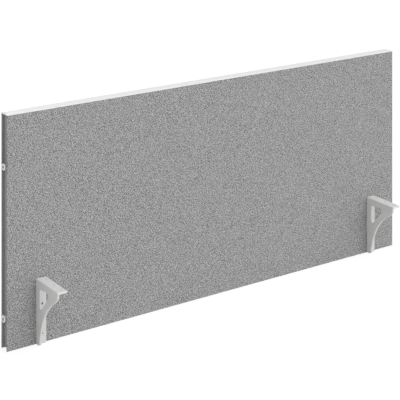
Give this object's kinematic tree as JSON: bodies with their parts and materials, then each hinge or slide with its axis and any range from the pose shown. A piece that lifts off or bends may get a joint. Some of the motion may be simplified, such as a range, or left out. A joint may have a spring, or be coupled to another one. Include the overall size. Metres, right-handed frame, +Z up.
{
  "type": "desk privacy panel",
  "caption": "Upholstered desk privacy panel with a white top profile, aluminium end channels with sliding link studs, and cast brackets that screw under a desk top.",
  "frame": {"origin": "middle of the underside of the panel: half its length, half its thickness, at the lower edge", "axes": "+X along the panel to the right seen from the desk side, +Y through the panel away from the desk side, +Z up"},
  "size_m": [1.206, 0.136, 0.55],
  "materials": {
    "fabric": "woven grey melange upholstery",
    "foam": "open-cell acoustic foam",
    "board": "raw particle board",
    "white_profile": "white satin powder coat on aluminium",
    "channel_aluminium": "satin anodised extrusion",
    "key_zinc": "zinc plated",
    "screw_steel": "zinc plated",
    "stud_steel": "bright zinc plated",
    "bracket_grey": "light grey powder coat on a die casting",
    "insert_brass": "plain",
    "bush_plastic": "black nylon"
  },
  "bodies": {
    "panel": {"core_board": "board", "front_acoustic_pad": "foam", "rear_acoustic_pad": "foam", "front_fabric_cover": "fabric", "rear_fabric_cover": "fabric", "top_profile": "white_profile", "bottom_profile": "channel_aluminium", "left_end_channel": "channel_aluminium", "right_end_channel": "channel_aluminium", "corner_key_upper_left": "key_zinc", "corner_key_upper_right": "key_zinc", "corner_key_lower_left": "key_zinc", "corner_key_lower_right": "key_zinc", "key_grub_screws_left": "screw_steel", "key_grub_screws_right": "screw_steel", "left_bracket": "bracket_grey", "left_bracket_screws": "screw_steel", "left_bracket_inserts": "insert_brass", "left_bracket_bushes": "bush_plastic", "right_bracket": "bracket_grey", "right_bracket_screws": "screw_steel", "right_bracket_inserts": "insert_brass", "right_bracket_bushes": "bush_plastic"},
    "left_upper_link": {"left_upper_link_stud": "stud_steel", "left_upper_link_spacer": "stud_steel", "left_upper_slot_nut": "key_zinc"},
    "left_lower_link": {"left_lower_link_stud": "stud_steel", "left_lower_link_spacer": "stud_steel", "left_lower_slot_nut": "key_zinc"},
    "right_upper_link": {"right_upper_link_stud": "stud_steel", "right_upper_link_spacer": "stud_steel", "right_upper_slot_nut": "key_zinc"},
    "right_lower_link": {"right_lower_link_stud": "stud_steel", "right_lower_link_spacer": "stud_steel", "right_lower_slot_nut": "key_zinc"}
  },
  "joints": [
    {"name": "left_upper_link_slide", "type": "slide", "parent": "panel", "child": "left_upper_link", "axis": [0, 0, 1], "range_m": [-0.15, 0.07]},
    {"name": "left_lower_link_slide", "type": "slide", "parent": "panel", "child": "left_lower_link", "axis": [0, 0, 1], "range_m": [-0.018, 0.15]},
    {"name": "right_upper_link_slide", "type": "slide", "parent": "panel", "child": "right_upper_link", "axis": [0, 0, 1], "range_m": [-0.15, 0.07]},
    {"name": "right_lower_link_slide", "type": "slide", "parent": "panel", "child": "right_lower_link", "axis": [0, 0, 1], "range_m": [-0.018, 0.15]}
  ]
}
